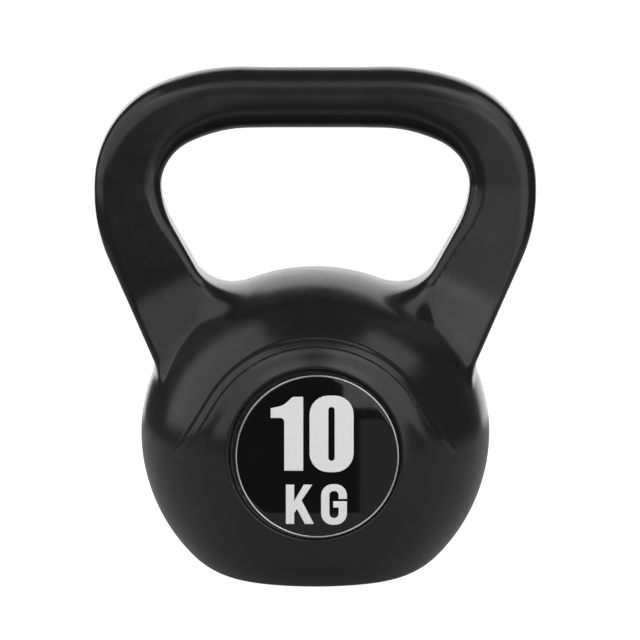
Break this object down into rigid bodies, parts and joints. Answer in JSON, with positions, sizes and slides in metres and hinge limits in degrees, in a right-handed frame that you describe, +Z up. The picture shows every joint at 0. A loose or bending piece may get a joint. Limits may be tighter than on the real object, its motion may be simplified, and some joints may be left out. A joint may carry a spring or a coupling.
{
  "type": "kettlebell",
  "caption": "Filled kettlebell: round hollow-moulded ball with a wide flat-topped loop handle, cast ballast, round weight badge and flat base.",
  "frame": {"origin": "centre of the flat base, where the kettlebell meets the floor", "axes": "+Z up through the ball to the grip, -Y towards the front badge, X along the grip"},
  "size_m": [0.2462, 0.1694, 0.2869],
  "materials": {
    "shell_plastic": "satin",
    "ballast_mortar": "matte",
    "rod_steel": "satin",
    "plug_plastic": "matte",
    "badge_tape": "matte",
    "badge_plate": "gloss",
    "badge_bezel": "polished",
    "badge_print": "satin"
  },
  "bodies": {
    "root": {"shell": "shell_plastic", "ballast": "ballast_mortar", "handle_rod": "rod_steel", "fill_plug": "plug_plastic", "front_badge_tape": "badge_tape", "front_badge_plate": "badge_plate", "front_badge_bezel": "badge_bezel", "rear_badge_tape": "badge_tape", "rear_badge_plate": "badge_plate", "rear_badge_bezel": "badge_bezel"}
  },
  "joints": []
}
